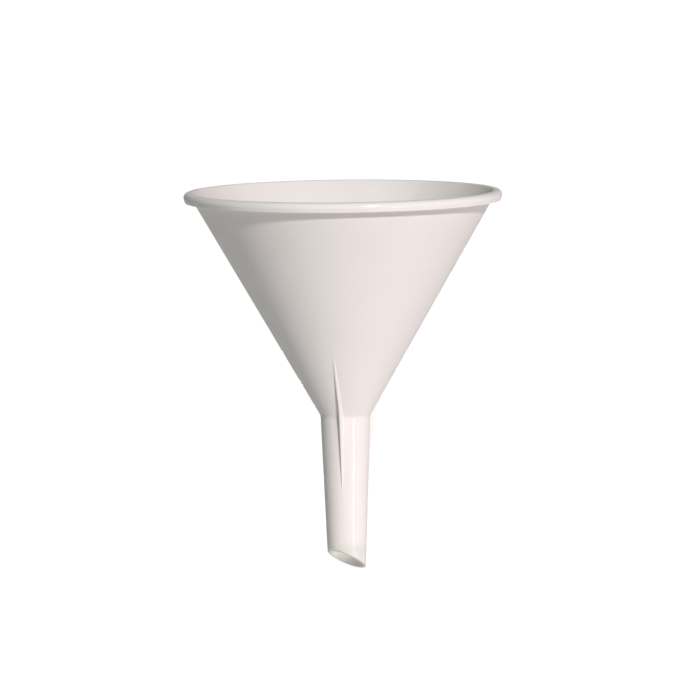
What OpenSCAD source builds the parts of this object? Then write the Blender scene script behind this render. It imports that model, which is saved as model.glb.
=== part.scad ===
// Plastic funnel with a conical bowl, a turned-down lip and a narrow stem.
// The origin lies on the axis, at the corner where the bowl meets the stem. Z points up.
// The front rib faces -Y. Sizes are in millimetres and degrees.

/* [Bowl] */

// Widest diameter of the rim
rim_d = 120; // [90:1:160]

// Angle between opposite sides of the bowl
cone_angle = 60; // [54:1:70]

// Thickness of the bowl and stem wall
wall = 1.4; // [1.1:0.1:1.8]

/* [Lip] */

// Height of the lip, from the crest to its lower edge
lip_h = 3.7; // [3.2:0.1:5]

// Radius of the outer edge of the crest
nose_r = 1.2; // [0.8:0.1:2]

// Lean of the lip face, inward below its widest line
lip_lean = 14; // [5:1:30]

// Thickness of the lip at its lower edge
lip_edge_w = 1.3; // [1:0.1:1.8]

// Width of the flat roof of the groove
groove_w = 0.6; // [0.4:0.1:1.5]

// Radius of the inner edge of the crest
mouth_r = 0.6; // [0.3:0.1:1]

/* [Stem] */

// Outer diameter where the bowl meets the stem
neck_d = 18.8; // [16:0.1:24]

// Outer diameter of the stem at the middle of its tip
tip_d = 14.4; // [11:0.1:15]

// Length of the stem on its axis, from the bowl to the tip
stem_l = 54.7; // [46:0.1:90]

// Slope of the tip against a square cut
tip_slope = 30; // [0:1:40]

// Direction of the lowest point of the tip, turned from the front rib
tip_turn = 145; // [0:1:359]

// Outer radius of the bend from the bowl into the stem
bend_r = 3.5; // [1:0.1:5]

/* [Ribs] */

// Height above the bend at which the crest of a rib turns along the bowl
rib_turn_h = 1.2; // [0.5:0.1:5]

// Depth of a rib where its crest turns
rib_depth = 1.4; // [0.8:0.1:2]

// Height of the upper end of a rib above the bend
rib_up = 24.5; // [14:0.1:32]

// Distance of the lower end of a rib below the bend
rib_down = 30; // [16:0.1:36]

// Width of the crest of a rib at its upper end
rib_crest = 0.8; // [0.6:0.1:1.4]

// Width of the crest of a rib at its lower end
rib_tail = 0.2; // [0.2:0.1:0.6]

// Slope of each side of a rib
rib_draft = 15; // [5:1:20]

// Radius of the crest of a rib where it turns
rib_turn_r = 12; // [6:1:20]

/* [Hidden] */

$fn = 96;

// Steps in each rounded corner of a profile
arc_steps = 10;

// Margin by which a cutting shape runs past the material
past = 5;

// Share by which the line of a rib runs past each end
run_past = 1.1;

rib_count = 3;
plastic = [0.93, 0.91, 0.90];

rim_r = rim_d / 2;
neck_r = neck_d / 2;
cone_slope = tan(cone_angle / 2);
stem_slope = (neck_r - tip_d / 2) / stem_l;
stem_end = stem_l + tip_d * tan(tip_slope) / 2 + past;

// Wall thickness along a level line, in the bowl and in the stem
cone_wall = wall / cos(cone_angle / 2);
stem_wall = wall / cos(atan(stem_slope));

// Radius of the middle of the rounded crest edge, of the lip at its lower edge, and of the groove
nose_mid_r = rim_r - nose_r;
lip_edge_r = nose_mid_r + nose_r / cos(lip_lean) - (lip_h - nose_r) * tan(lip_lean);
groove_r = lip_edge_r - lip_edge_w;

// Level of the groove roof, where the lip sits on the bowl, of the crest and of the lower lip edge
seat_z = (groove_r - groove_w - neck_r) / cone_slope;
crest_z = seat_z + wall;
lip_z = crest_z - lip_h;

// Level at which the bend ends and the stem starts
turn = cone_angle / 2 - atan(stem_slope);
stem_top = -bend_r * tan(turn / 2);

// Corner of the inner wall lines of the bowl and the stem
inner_z = (cone_wall - stem_wall) / (cone_slope - stem_slope);
inner_corner = [neck_r - stem_wall + inner_z * stem_slope, inner_z];

function unit(v) = v / norm(v);

// Points of an arc of radius r that rounds the corner b between the lines to a and to c
function rounded(a, b, c, r) =
    let (u = unit(a - b))
    let (v = unit(c - b))
    let (half = acos(u * v) / 2)
    let (first = b + u * r / tan(half))
    let (last = b + v * r / tan(half))
    let (mid = b + unit(u + v) * r / sin(half))
    [for (i = [0 : arc_steps]) mid + r * unit(first + (last - first) * i / arc_steps - mid)];

function cone_out(z) = [neck_r + z * cone_slope, z];
function cone_in(z) = cone_out(z) - [cone_wall, 0];
function stem_out(z) = [neck_r + z * stem_slope, z];
function stem_in(z) = stem_out(z) - [stem_wall, 0];

// Outer line of the funnel from the tip up to the seat of the lip
outer_line = concat(
    [stem_out(-stem_end)],
    rounded(stem_out(-stem_end), [neck_r, 0], cone_out(seat_z), bend_r),
    [cone_out(seat_z)]
);

// Inner line of the funnel from the seat of the lip down to the tip
inner_line = concat(
    [cone_in(seat_z)],
    rounded(cone_in(seat_z), inner_corner, stem_in(-stem_end), bend_r + wall),
    [stem_in(-stem_end)]
);

// Line along the crest of a rib, run past both ends into the wall
rib_corner = cone_out(rib_turn_h) + [rib_depth, 0];
rib_foot = rib_corner + (stem_out(-rib_down) - rib_corner) * run_past;
rib_head = rib_corner + (cone_out(rib_up) - rib_corner) * run_past;
rib_line = concat([rib_foot], rounded(rib_foot, rib_corner, rib_head, rib_turn_r), [rib_head]);

// Width of the crest of a rib at a level
rib_taper = (rib_crest - rib_tail) / (rib_up + rib_down);
function crest_w(z) = max(rib_tail, rib_tail + (z + rib_down) * rib_taper);

// Outer corner of the crest, where its level line meets the line of the lip face
crest_corner = [nose_mid_r + nose_r * (1 + sin(lip_lean)) / cos(lip_lean), crest_z];

module lip_section() {
    polygon(concat(
        [cone_in(seat_z)],
        rounded(cone_in(seat_z), cone_in(crest_z), crest_corner, mouth_r),
        rounded(cone_in(crest_z), crest_corner, [lip_edge_r, lip_z], nose_r),
        [[lip_edge_r, lip_z], [groove_r, lip_z], [groove_r, seat_z]]
    ));
}

module rim_lip() {
    color(plastic)
        rotate_extrude()
            lip_section();
}

module cone_bowl() {
    color(plastic)
        rotate_extrude()
            intersection() {
                polygon(concat(outer_line, inner_line));
                translate([0, stem_top])
                    square([rim_r, seat_z - stem_top]);
            }
}

// Everything below the slanted cut at the tip
module below_tip() {
    size = 2 * stem_end;
    translate([0, 0, -stem_l])
        rotate([0, 0, tip_turn - 90])
            rotate([0, tip_slope, 0])
                translate([-size / 2, -size / 2, -size])
                    cube(size);
}

module stem_spout() {
    color(plastic)
        difference() {
            rotate_extrude()
                intersection() {
                    polygon(concat(outer_line, inner_line));
                    translate([0, -stem_end])
                        square([rim_r, stem_end + stem_top]);
                }
            below_tip();
        }
}

// Space inside the outer line of the bowl and the stem
module filled_funnel() {
    rotate_extrude()
        polygon(concat(outer_line, [[0, seat_z], [0, -stem_end]]));
}

// Ridge with sloped sides along the rib line, buried in the wall
module ridge() {
    buried = rib_depth + wall + past;
    spread = buried * tan(rib_draft);
    last = len(rib_line) - 1;
    corners = [
        for (p = rib_line)
            let (half = crest_w(p.y) / 2) each [
                [p.x, -half, p.y],
                [p.x, half, p.y],
                [p.x - buried, half + spread, p.y],
                [p.x - buried, -half - spread, p.y]
            ]
    ];
    sides = [
        for (i = [0 : last - 1]) for (k = [0 : 3])
            [4 * i + k, 4 * i + 4 + k, 4 * i + 4 + (k + 1) % 4, 4 * i + (k + 1) % 4]
    ];
    polyhedron(corners, concat(sides, [[0, 1, 2, 3], [for (k = [3 : -1 : 0]) 4 * last + k]]));
}

module vent_rib(number) {
    color(plastic)
        rotate([0, 0, (number - 1) * 360 / rib_count - 90])
            difference() {
                ridge();
                filled_funnel();
            }
}

rim_lip();
cone_bowl();
stem_spout();
for (i = [1 : rib_count]) vent_rib(i);
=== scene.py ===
# Dresses the plastic funnel: a fine mesh for each moulded feature, plastic, light and camera.
import math

import bmesh
import bpy
from mathutils import Matrix, Vector


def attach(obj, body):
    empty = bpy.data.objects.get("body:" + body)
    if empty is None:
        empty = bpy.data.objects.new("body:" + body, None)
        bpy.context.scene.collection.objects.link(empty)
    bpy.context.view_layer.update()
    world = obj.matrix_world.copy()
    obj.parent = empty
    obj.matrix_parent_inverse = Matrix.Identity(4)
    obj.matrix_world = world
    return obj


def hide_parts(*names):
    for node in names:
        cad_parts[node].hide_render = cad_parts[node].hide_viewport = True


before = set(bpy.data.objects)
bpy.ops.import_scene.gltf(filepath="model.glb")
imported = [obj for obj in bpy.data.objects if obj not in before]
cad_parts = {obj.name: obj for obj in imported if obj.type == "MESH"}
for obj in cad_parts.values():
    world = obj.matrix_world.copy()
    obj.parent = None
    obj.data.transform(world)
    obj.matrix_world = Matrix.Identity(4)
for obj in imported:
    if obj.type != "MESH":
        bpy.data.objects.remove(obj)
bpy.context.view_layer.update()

MM = 0.001

# Bowl and stem, in millimetres and degrees. The rim lies a hair inside that of the solid.
RIM_R = 59.98
CONE_ANGLE = 60.0
WALL = 1.4
NECK_R = 9.4
TIP_R = 7.2
STEM_L = 54.7
TIP_SLOPE = 30.0
TIP_TURN = 145.0
BEND_R = 3.5

# Lip, with a rounder nose and more lean than the solid's
LIP_H = 3.7
NOSE_R = 1.8
LIP_LEAN = 18.0
LIP_EDGE_W = 1.36
GROOVE_W = 0.6
MOUTH_R = 0.6

# Ribs
RIB_TURN_H = 1.2
RIB_DEPTH = 1.4
RIB_UP = 24.5
RIB_DOWN = 30.0
RIB_CREST = 0.8
RIB_TAIL = 0.2
RIB_DRAFT = 15.0
RIB_TURN_R = 12.0
RIB_COUNT = 3

# Direction of the front, counted from +X
FRONT = -90

# Small edge radii of the moulding
LIP_EDGE_R = 0.15
GROOVE_R = 0.2
TIP_EDGE_R = 0.2
RIB_EDGE_R = 0.15
RIB_ROOT_R = 0.9

# Largest shares of a rib's depth and half width that its radii take, and the least radius
ROOT_SHARE = 0.6
EDGE_SHARE = 0.5
CREST_SHARE = 0.9
LEAST_R = 0.01

# Width of the foot beside a rib, in root radii, and the depths to which foot and rib lie in the wall
FOOT_REACH = 2
SUNK = 0.04
BURIED = 0.4

# Amount by which the bend's arc stays clear of the level where bowl and stem meet
BEND_GAP = 0.001

# Fineness of the meshes
SIDES = 288
ARC_STEPS = 10
RIB_RINGS = 120
SMOOTH_UNDER = math.radians(40)

# Radius of a corner that stays sharp, and steps along the straight lines of a profile
SHARP = 0
BOWL_STEPS = 30
STEM_STEPS = 24
LIP_STEPS = 6
EDGE_STEPS = 4
JOIN_STEPS = 2
ONE_STEP = 1

# Plastic: two near shades of its white, the limits of its roughness, and sizes in millimetres
PLASTIC_DEEP = (0.855, 0.775, 0.76, 1)
PLASTIC_PALE = (0.885, 0.805, 0.79, 1)
ROUGHNESS = (0.45, 0.55)
NOISE_DETAIL = 2
CLOUD_SIZE = 15
SCUFF_SIZE = 2
GRAIN_SIZE = 0.5
GRAIN_DEPTH = 0.02
GRAIN_STRENGTH = 0.1

# Gloss, which the coat carries alone
COAT = 0.08
COAT_IOR = 2.5
COAT_ROUGHNESS = 0.1
BASE_GLOSS = 0.0

# Light that passes the wall near the tip: its level, how far it reaches, its largest share, its tint
CLEAR_Z = -52.8
CLEAR_REACH = 5
CLEAR_SHARE = 0.62
CLEAR_TINT = (0.98, 1.0, 0.95, 1)

# Camera, in degrees, metres and pixels of the square photograph, with its sensor in millimetres
PHOTO_SIDE = 700
ORIGIN_PIXEL = (345.4, 414.95)
PIXELS_PER_METRE = 2651.6
CAMERA_AZIMUTH = 10.5
CAMERA_ELEVATION = 5.35
CAMERA_ROLL = 0.66
CAMERA_DISTANCE = 3.2
SENSOR = 36

# Key light, which is far away and small, and the even light of the world
KEY_AZIMUTH = 33
KEY_ELEVATION = 26
KEY_WIDTH = 5
KEY_STRENGTH = 2.45
WORLD_STRENGTH = 0.03

# Other lamps: azimuth, elevation and distance, width and height, power, tint
NEUTRAL = (1.0, 1.0, 1.0)
ROSE = (1.0, 0.92, 0.96)
COOL = (0.79, 1.0, 0.89)
LAMPS = {
    "strip": (50, -14, 0.6, (0.075, 0.24), 0.62, ROSE),
    "left_fill": (-45, 56, 2.0, (1.2, 1.2), 7.2, COOL),
    "right_fill": (120, 2, 2.0, (0.6, 0.6), 3.0, NEUTRAL),
    "low_fill": (0, -90, 0.28, (2.0, 2.0), 0.8, COOL),
    "back_fill": (190.5, -6, 1.0, (0.15, 0.15), 3.0, NEUTRAL),
}

# Floor, which is matt, and the white of what the camera sees behind the funnel
FLOOR_Z = -0.30
FLOOR_SIZE = 60
FLOOR_COLOUR = (0.8, 0.8, 0.8, 1)
FLOOR_ROUGHNESS = 1
FLOOR_GLOSS = 0
FLOOR_GLOW = 0.75
WHITE = (1, 1, 1, 1)


def tan(degrees):
    return math.tan(math.radians(degrees))


def sin(degrees):
    return math.sin(math.radians(degrees))


def cos(degrees):
    return math.cos(math.radians(degrees))


# Slopes, and wall thicknesses along a level line
CONE_SLOPE = tan(CONE_ANGLE / 2)
STEM_SLOPE = (NECK_R - TIP_R) / STEM_L
CONE_WALL = WALL / cos(CONE_ANGLE / 2)
STEM_WALL = WALL * math.hypot(1, STEM_SLOPE)

# Radii of the lip: the middle of its nose, and the outer and inner corner of its lower edge
NOSE_MID_R = RIM_R - NOSE_R
LIP_OUT_R = NOSE_MID_R + NOSE_R / cos(LIP_LEAN) - (LIP_H - NOSE_R) * tan(LIP_LEAN)
LIP_IN_R = LIP_OUT_R - LIP_EDGE_W

# Levels: seat of the lip on the bowl, crest, lower edge of the lip, inner corner, join of bowl and stem
SEAT_Z = (LIP_IN_R - GROOVE_W - NECK_R) / CONE_SLOPE
CREST_Z = SEAT_Z + WALL
LIP_Z = CREST_Z - LIP_H
INNER_Z = (CONE_WALL - STEM_WALL) / (CONE_SLOPE - STEM_SLOPE)
TURN = math.atan(CONE_SLOPE) - math.atan(STEM_SLOPE)
JOIN_Z = -BEND_R * math.tan(TURN / 2)


def cone_out(z):
    return Vector((NECK_R + z * CONE_SLOPE, z))


def cone_in(z):
    return cone_out(z) - Vector((CONE_WALL, 0))


def stem_out(z):
    return Vector((NECK_R + z * STEM_SLOPE, z))


def stem_in(z):
    return stem_out(z) - Vector((STEM_WALL, 0))


def rounded(a, b, c, radius):
    """Points of the arc that rounds corner b between the lines to a and to c."""
    u = (a - b).normalized()
    v = (c - b).normalized()
    half = u.angle(v) / 2
    first = b + u * radius / math.tan(half)
    last = b + v * radius / math.tan(half)
    mid = b + (u + v).normalized() * radius / math.sin(half)
    chord = [first.lerp(last, i / ARC_STEPS) for i in range(ARC_STEPS + 1)]
    return [mid + (point - mid).normalized() * radius for point in chord]


def outline(corners):
    """Closed outline through corners of (point, radius, steps along the line to the next corner)."""
    arcs = []
    for i, (point, radius, _) in enumerate(corners):
        before = corners[i - 1][0]
        after = corners[(i + 1) % len(corners)][0]
        arcs.append(rounded(before, point, after, radius) if radius else [point])
    points = []
    for i, arc in enumerate(arcs):
        start = arc[-1]
        end = arcs[(i + 1) % len(arcs)][0]
        steps = corners[i][2]
        points += arc
        # Steps are shorter near both ends of a line
        points += [start.lerp(end, (1 - math.cos(math.pi * k / steps)) / 2) for k in range(1, steps)]
    return points


def add_object(name, data):
    made = bpy.data.objects.new(name, data)
    bpy.context.scene.collection.objects.link(made)
    return made


def make_mesh(name, rings, closed):
    """Mesh through rings of points, joined into a loop or with a cap at each end."""
    count = len(rings[0])
    bm = bmesh.new()
    grid = [[bm.verts.new(Vector(p) * MM) for p in ring] for ring in rings]
    following = grid[1:] + grid[:1] if closed else grid[1:]
    for ring, after in zip(grid, following):
        for k in range(count):
            beside = (k + 1) % count
            bm.faces.new((ring[k], ring[beside], after[beside], after[k]))
    if not closed:
        bm.faces.new(grid[0])
        bm.faces.new(grid[-1])
    bmesh.ops.recalc_face_normals(bm, faces=bm.faces)
    mesh = bpy.data.meshes.new(name)
    bm.to_mesh(mesh)
    bm.free()
    mesh.polygons.foreach_set("use_smooth", [True] * len(mesh.polygons))
    mesh.set_sharp_from_angle(angle=SMOOTH_UNDER)
    return mesh


def make_piece(name, mesh, node):
    """Piece that stands for a node of the frame."""
    piece = add_object(name, mesh)
    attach(piece, "root")
    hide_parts(node)
    return piece


def lathe(name, node, outline_at):
    """Ring round the axis whose outline may change with the angle."""
    rings = []
    for i in range(SIDES):
        angle = 2 * math.pi * i / SIDES
        c = math.cos(angle)
        s = math.sin(angle)
        rings.append([(p.x * c, p.x * s, p.y) for p in outline_at(angle)])
    return make_piece(name, make_mesh(name, rings, closed=True), node)


def lip_outline(angle):
    """Crest, nose, leaning face, lower edge and groove, the same at every angle."""
    corner_r = NOSE_MID_R + NOSE_R * (1 + sin(LIP_LEAN)) / cos(LIP_LEAN)
    return outline([
        (cone_in(SEAT_Z), SHARP, LIP_STEPS),
        (cone_in(CREST_Z), MOUTH_R, LIP_STEPS),
        (Vector((corner_r, CREST_Z)), NOSE_R, LIP_STEPS),
        (Vector((LIP_OUT_R, LIP_Z)), LIP_EDGE_R, EDGE_STEPS),
        (Vector((LIP_IN_R, LIP_Z)), LIP_EDGE_R, LIP_STEPS),
        (Vector((LIP_IN_R, SEAT_Z)), GROOVE_R, JOIN_STEPS),
        (cone_out(SEAT_Z), SHARP, JOIN_STEPS),
    ])


def bowl_outline(angle):
    """Bowl wall with its bend into the stem, the same at every angle."""
    inner_r = NECK_R - STEM_WALL + INNER_Z * STEM_SLOPE
    return outline([
        (stem_out(JOIN_Z), SHARP, ONE_STEP),
        (Vector((NECK_R, 0)), BEND_R - BEND_GAP, BOWL_STEPS),
        (cone_out(SEAT_Z), SHARP, JOIN_STEPS),
        (cone_in(SEAT_Z), SHARP, BOWL_STEPS),
        (Vector((inner_r, INNER_Z)), BEND_R + WALL, EDGE_STEPS),
        (stem_in(JOIN_Z), SHARP, JOIN_STEPS),
    ])


def stem_outline(angle):
    """Stem wall, which ends at the slanted cut of the tip."""
    low = math.radians(TIP_TURN + FRONT)
    slope = tan(TIP_SLOPE) * math.cos(angle - low)
    outer_z = -(STEM_L + NECK_R * slope) / (1 + STEM_SLOPE * slope)
    inner_z = -(STEM_L + (NECK_R - STEM_WALL) * slope) / (1 + STEM_SLOPE * slope)
    return outline([
        (stem_out(JOIN_Z), SHARP, STEM_STEPS),
        (stem_out(outer_z), TIP_EDGE_R, EDGE_STEPS),
        (stem_in(inner_z), TIP_EDGE_R, STEM_STEPS),
        (stem_in(JOIN_Z), SHARP, JOIN_STEPS),
    ])


def wall_radius(z):
    """Outer radius of the funnel at a level, without the small bend."""
    return cone_out(z).x if z > 0 else stem_out(z).x


def rib_crest_radius(z, line):
    """Radius of the rib's crest at a level, along its line of points."""
    for a, b in zip(line, line[1:]):
        if a.y <= z <= b.y:
            return a.x + (b.x - a.x) * (z - a.y) / (b.y - a.y)
    return wall_radius(z)


def rib_section(z, depth):
    """Half of a rib's section as (side, height) points, from the wall up to the middle of the crest."""
    crest = (RIB_TAIL + (RIB_CREST - RIB_TAIL) * (z + RIB_DOWN) / (RIB_UP + RIB_DOWN)) / 2
    root = crest + max(depth, 0) * tan(RIB_DRAFT)
    root_r = max(min(RIB_ROOT_R, depth * ROOT_SHARE), LEAST_R)
    edge_r = max(min(RIB_EDGE_R, depth * EDGE_SHARE, crest * CREST_SHARE), LEAST_R)
    foot = Vector((root + RIB_ROOT_R * FOOT_REACH, -SUNK))
    root_point = Vector((root, -SUNK))
    edge_point = Vector((crest, depth))
    top = Vector((0, depth))
    root_arc = rounded(foot, root_point, edge_point, root_r)
    edge_arc = rounded(root_point, edge_point, top, edge_r)
    return [foot] + root_arc + edge_arc + [top]


def rib_ring(z, depth):
    """Closed ring of a rib at a level: its outer side, then the same line buried in the wall."""
    wall = wall_radius(z)
    half = rib_section(z, depth)
    section = half + [Vector((-p.x, p.y)) for p in reversed(half[:-1])]
    outer = [(math.sqrt(wall**2 - p.x**2) + p.y, p.x, z) for p in section]
    buried = [(x - p.y - BURIED, y, z) for (x, y, z), p in zip(reversed(outer), reversed(section))]
    return outer + buried


def make_rib(number):
    """Ridge across the bend, lofted through level rings."""
    turn = Matrix.Rotation(math.radians((number - 1) * 360 / RIB_COUNT + FRONT), 3, "Z")
    corner = cone_out(RIB_TURN_H) + Vector((RIB_DEPTH, 0))
    foot = stem_out(-RIB_DOWN)
    top = cone_out(RIB_UP)
    line = [foot] + rounded(foot, corner, top, RIB_TURN_R) + [top]
    rings = []
    for i in range(RIB_RINGS + 1):
        z = -RIB_DOWN + (RIB_UP + RIB_DOWN) * i / RIB_RINGS
        depth = rib_crest_radius(z, line) - wall_radius(z)
        rings.append([turn @ Vector(p) for p in rib_ring(z, depth)])
    name = f"rib_{number}"
    return make_piece(name, make_mesh(name, rings, closed=False), f"vent_rib_{number}")


def add_noise(tree, size):
    """Noise in the frame's own coordinates, with features of about the given size."""
    place = tree.nodes.new("ShaderNodeTexCoord")
    noise = tree.nodes.new("ShaderNodeTexNoise")
    noise.inputs["Scale"].default_value = 1 / (size * MM)
    noise.inputs["Detail"].default_value = NOISE_DETAIL
    tree.links.new(place.outputs["Object"], noise.inputs["Vector"])
    return noise.outputs["Fac"]


def add_math(tree, operation):
    node = tree.nodes.new("ShaderNodeMath")
    node.operation = operation
    return node


def clear_share(tree):
    """Share of the light that passes the wall, largest at one level near the tip."""
    place = tree.nodes.new("ShaderNodeTexCoord")
    split = tree.nodes.new("ShaderNodeSeparateXYZ")
    tree.links.new(place.outputs["Object"], split.inputs["Vector"])
    above = add_math(tree, "SUBTRACT")
    tree.links.new(split.outputs["Z"], above.inputs[0])
    above.inputs[1].default_value = CLEAR_Z * MM
    away = add_math(tree, "ABSOLUTE")
    tree.links.new(above.outputs[0], away.inputs[0])
    share = tree.nodes.new("ShaderNodeMapRange")
    share.inputs["From Max"].default_value = CLEAR_REACH * MM
    share.inputs["To Min"].default_value = CLEAR_SHARE
    share.inputs["To Max"].default_value = 0
    tree.links.new(away.outputs[0], share.inputs["Value"])
    return share.outputs["Result"]


def add_unevenness(tree, shader):
    """Faint changes of colour, roughness and surface over the plastic."""
    colour = tree.nodes.new("ShaderNodeMix")
    colour.data_type = "RGBA"
    colour.inputs["A"].default_value = PLASTIC_DEEP
    colour.inputs["B"].default_value = PLASTIC_PALE
    tree.links.new(add_noise(tree, CLOUD_SIZE), colour.inputs["Factor"])
    tree.links.new(colour.outputs["Result"], shader.inputs["Base Color"])

    roughness = tree.nodes.new("ShaderNodeMapRange")
    roughness.inputs["To Min"].default_value = ROUGHNESS[0]
    roughness.inputs["To Max"].default_value = ROUGHNESS[1]
    tree.links.new(add_noise(tree, SCUFF_SIZE), roughness.inputs["Value"])
    tree.links.new(roughness.outputs["Result"], shader.inputs["Roughness"])

    bump = tree.nodes.new("ShaderNodeBump")
    bump.inputs["Strength"].default_value = GRAIN_STRENGTH
    bump.inputs["Distance"].default_value = GRAIN_DEPTH * MM
    tree.links.new(add_noise(tree, GRAIN_SIZE), bump.inputs["Height"])
    tree.links.new(bump.outputs["Normal"], shader.inputs["Normal"])


def make_plastic():
    """White plastic with a thin gloss, through which some light passes near the tip."""
    material = bpy.data.materials.new("moulded_plastic")
    material.use_nodes = True
    tree = material.node_tree
    shader = tree.nodes["Principled BSDF"]
    add_unevenness(tree, shader)
    shader.inputs["Specular IOR Level"].default_value = BASE_GLOSS
    shader.inputs["Coat Weight"].default_value = COAT
    shader.inputs["Coat IOR"].default_value = COAT_IOR
    shader.inputs["Coat Roughness"].default_value = COAT_ROUGHNESS

    through = tree.nodes.new("ShaderNodeBsdfTranslucent")
    through.inputs["Color"].default_value = CLEAR_TINT
    mix = tree.nodes.new("ShaderNodeMixShader")
    tree.links.new(clear_share(tree), mix.inputs["Fac"])
    tree.links.new(shader.outputs["BSDF"], mix.inputs[1])
    tree.links.new(through.outputs["BSDF"], mix.inputs[2])
    tree.links.new(mix.outputs["Shader"], tree.nodes["Material Output"].inputs["Surface"])
    return material


def direction(azimuth, elevation):
    """Unit vector from the origin, with azimuth 0 towards -Y and 90 towards +X."""
    level = cos(elevation)
    return Vector((sin(azimuth) * level, -cos(azimuth) * level, sin(elevation)))


def looking(back):
    """Rotation of a camera or lamp that looks against the given vector."""
    return (-back).to_track_quat("-Z", "Y").to_matrix()


def make_camera():
    """Camera whose picture has the frame's origin at its place in the photograph."""
    data = bpy.data.cameras.new("camera")
    data.sensor_width = SENSOR
    data.lens = SENSOR * PIXELS_PER_METRE * CAMERA_DISTANCE / PHOTO_SIDE
    back = direction(CAMERA_AZIMUTH, CAMERA_ELEVATION)
    turned = looking(back) @ Matrix.Rotation(math.radians(-CAMERA_ROLL), 3, "Z")
    right = turned.col[0]
    up = turned.col[1]
    middle = PHOTO_SIDE / 2
    aside = right * (middle - ORIGIN_PIXEL[0]) + up * (ORIGIN_PIXEL[1] - middle)
    place = back * CAMERA_DISTANCE + aside / PIXELS_PER_METRE
    camera = add_object("camera", data)
    camera.matrix_world = Matrix.Translation(place) @ turned.to_4x4()
    bpy.context.scene.camera = camera


def make_key():
    data = bpy.data.lights.new("key", "SUN")
    data.energy = KEY_STRENGTH
    data.angle = math.radians(KEY_WIDTH)
    lamp = add_object("key", data)
    lamp.matrix_world = looking(direction(KEY_AZIMUTH, KEY_ELEVATION)).to_4x4()


def make_area(name, azimuth, elevation, distance, size, power, colour):
    """Area lamp of a width and height that shines at the origin and isn't seen itself."""
    data = bpy.data.lights.new(name, "AREA")
    data.shape = "ELLIPSE"
    data.size, data.size_y = size
    data.energy = power
    data.color = colour
    back = direction(azimuth, elevation)
    lamp = add_object(name, data)
    lamp.matrix_world = Matrix.Translation(back * distance) @ looking(back).to_4x4()
    lamp.visible_camera = False


def seen_directly(tree):
    """Socket that is 1 for what the camera sees, also in a gloss or through glass, and 0 for light."""
    path = tree.nodes.new("ShaderNodeLightPath")
    seen = path.outputs["Is Camera Ray"]
    for other in ("Is Glossy Ray", "Is Transmission Ray"):
        either = add_math(tree, "MAXIMUM")
        tree.links.new(seen, either.inputs[0])
        tree.links.new(path.outputs[other], either.inputs[1])
        seen = either.outputs[0]
    return seen


def make_floor_material():
    """Matt pale floor with a glow that only the camera sees."""
    material = bpy.data.materials.new("floor")
    material.use_nodes = True
    tree = material.node_tree
    shader = tree.nodes["Principled BSDF"]
    shader.inputs["Base Color"].default_value = FLOOR_COLOUR
    shader.inputs["Roughness"].default_value = FLOOR_ROUGHNESS
    shader.inputs["Specular IOR Level"].default_value = FLOOR_GLOSS
    shader.inputs["Emission Color"].default_value = WHITE
    glow = add_math(tree, "MULTIPLY")
    tree.links.new(seen_directly(tree), glow.inputs[0])
    glow.inputs[1].default_value = FLOOR_GLOW
    tree.links.new(glow.outputs[0], shader.inputs["Emission Strength"])
    return material


def make_floor():
    mesh = bpy.data.meshes.new("floor")
    half = FLOOR_SIZE / 2
    corners = [(x, y, FLOOR_Z) for x, y in ((-half, -half), (half, -half), (half, half), (-half, half))]
    mesh.from_pydata(corners, [], [(0, 1, 2, 3)])
    mesh.materials.append(make_floor_material())
    floor = add_object("floor", mesh)


def make_world():
    """White where it is seen, and a weak even light."""
    world = bpy.data.worlds.new("world")
    bpy.context.scene.world = world
    world.use_nodes = True
    tree = world.node_tree
    background = tree.nodes["Background"]
    background.inputs["Color"].default_value = WHITE
    strength = add_math(tree, "MAXIMUM")
    tree.links.new(seen_directly(tree), strength.inputs[0])
    strength.inputs[1].default_value = WORLD_STRENGTH
    tree.links.new(strength.outputs[0], background.inputs["Strength"])


plastic = make_plastic()
pieces = [
    lathe("lip", "rim_lip", lip_outline),
    lathe("bowl", "cone_bowl", bowl_outline),
    lathe("spout", "stem_spout", stem_outline),
]
pieces += [make_rib(i + 1) for i in range(RIB_COUNT)]
for piece in pieces:
    piece.data.materials.append(plastic)

make_camera()
make_key()
for name, settings in LAMPS.items():
    make_area(name, *settings)
make_floor()
make_world()
bpy.context.scene.view_settings.view_transform = "Standard"
